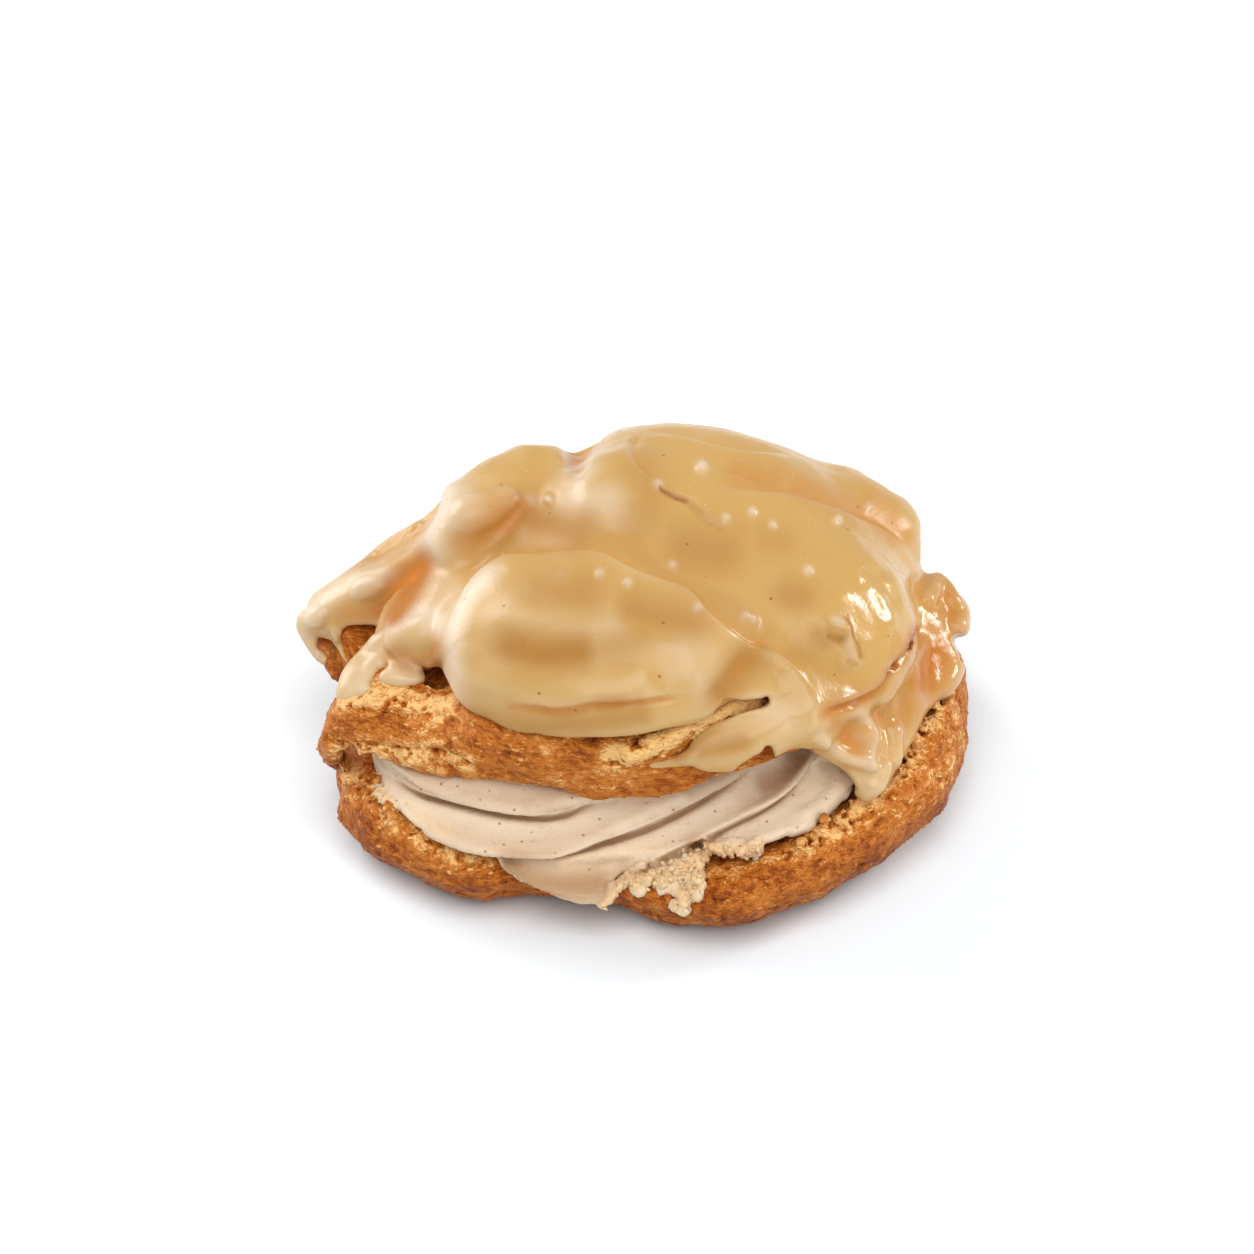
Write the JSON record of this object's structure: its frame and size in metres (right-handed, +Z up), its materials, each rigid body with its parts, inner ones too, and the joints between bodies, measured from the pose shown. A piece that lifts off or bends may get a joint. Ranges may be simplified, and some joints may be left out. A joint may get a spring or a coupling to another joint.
{
  "type": "cream puff",
  "caption": "Split choux bun with folds of piped cream showing between base and lid, and thick caramel icing running over the lid.",
  "frame": {"origin": "middle of the flat underside that the bun rests on", "axes": "+Z up, -Y towards the front where the cream shows most, +X to the right seen from the front"},
  "size_m": [0.1181, 0.1113, 0.0601],
  "materials": {
    "choux": "baked, rough and flaky, golden brown",
    "cream": "soft matte beige with fine brown specks",
    "icing": "smooth, glossy and slightly see-through caramel"
  },
  "bodies": {
    "root": {"choux_base": "choux", "cream": "cream", "choux_lid": "choux", "icing": "icing"}
  },
  "joints": []
}
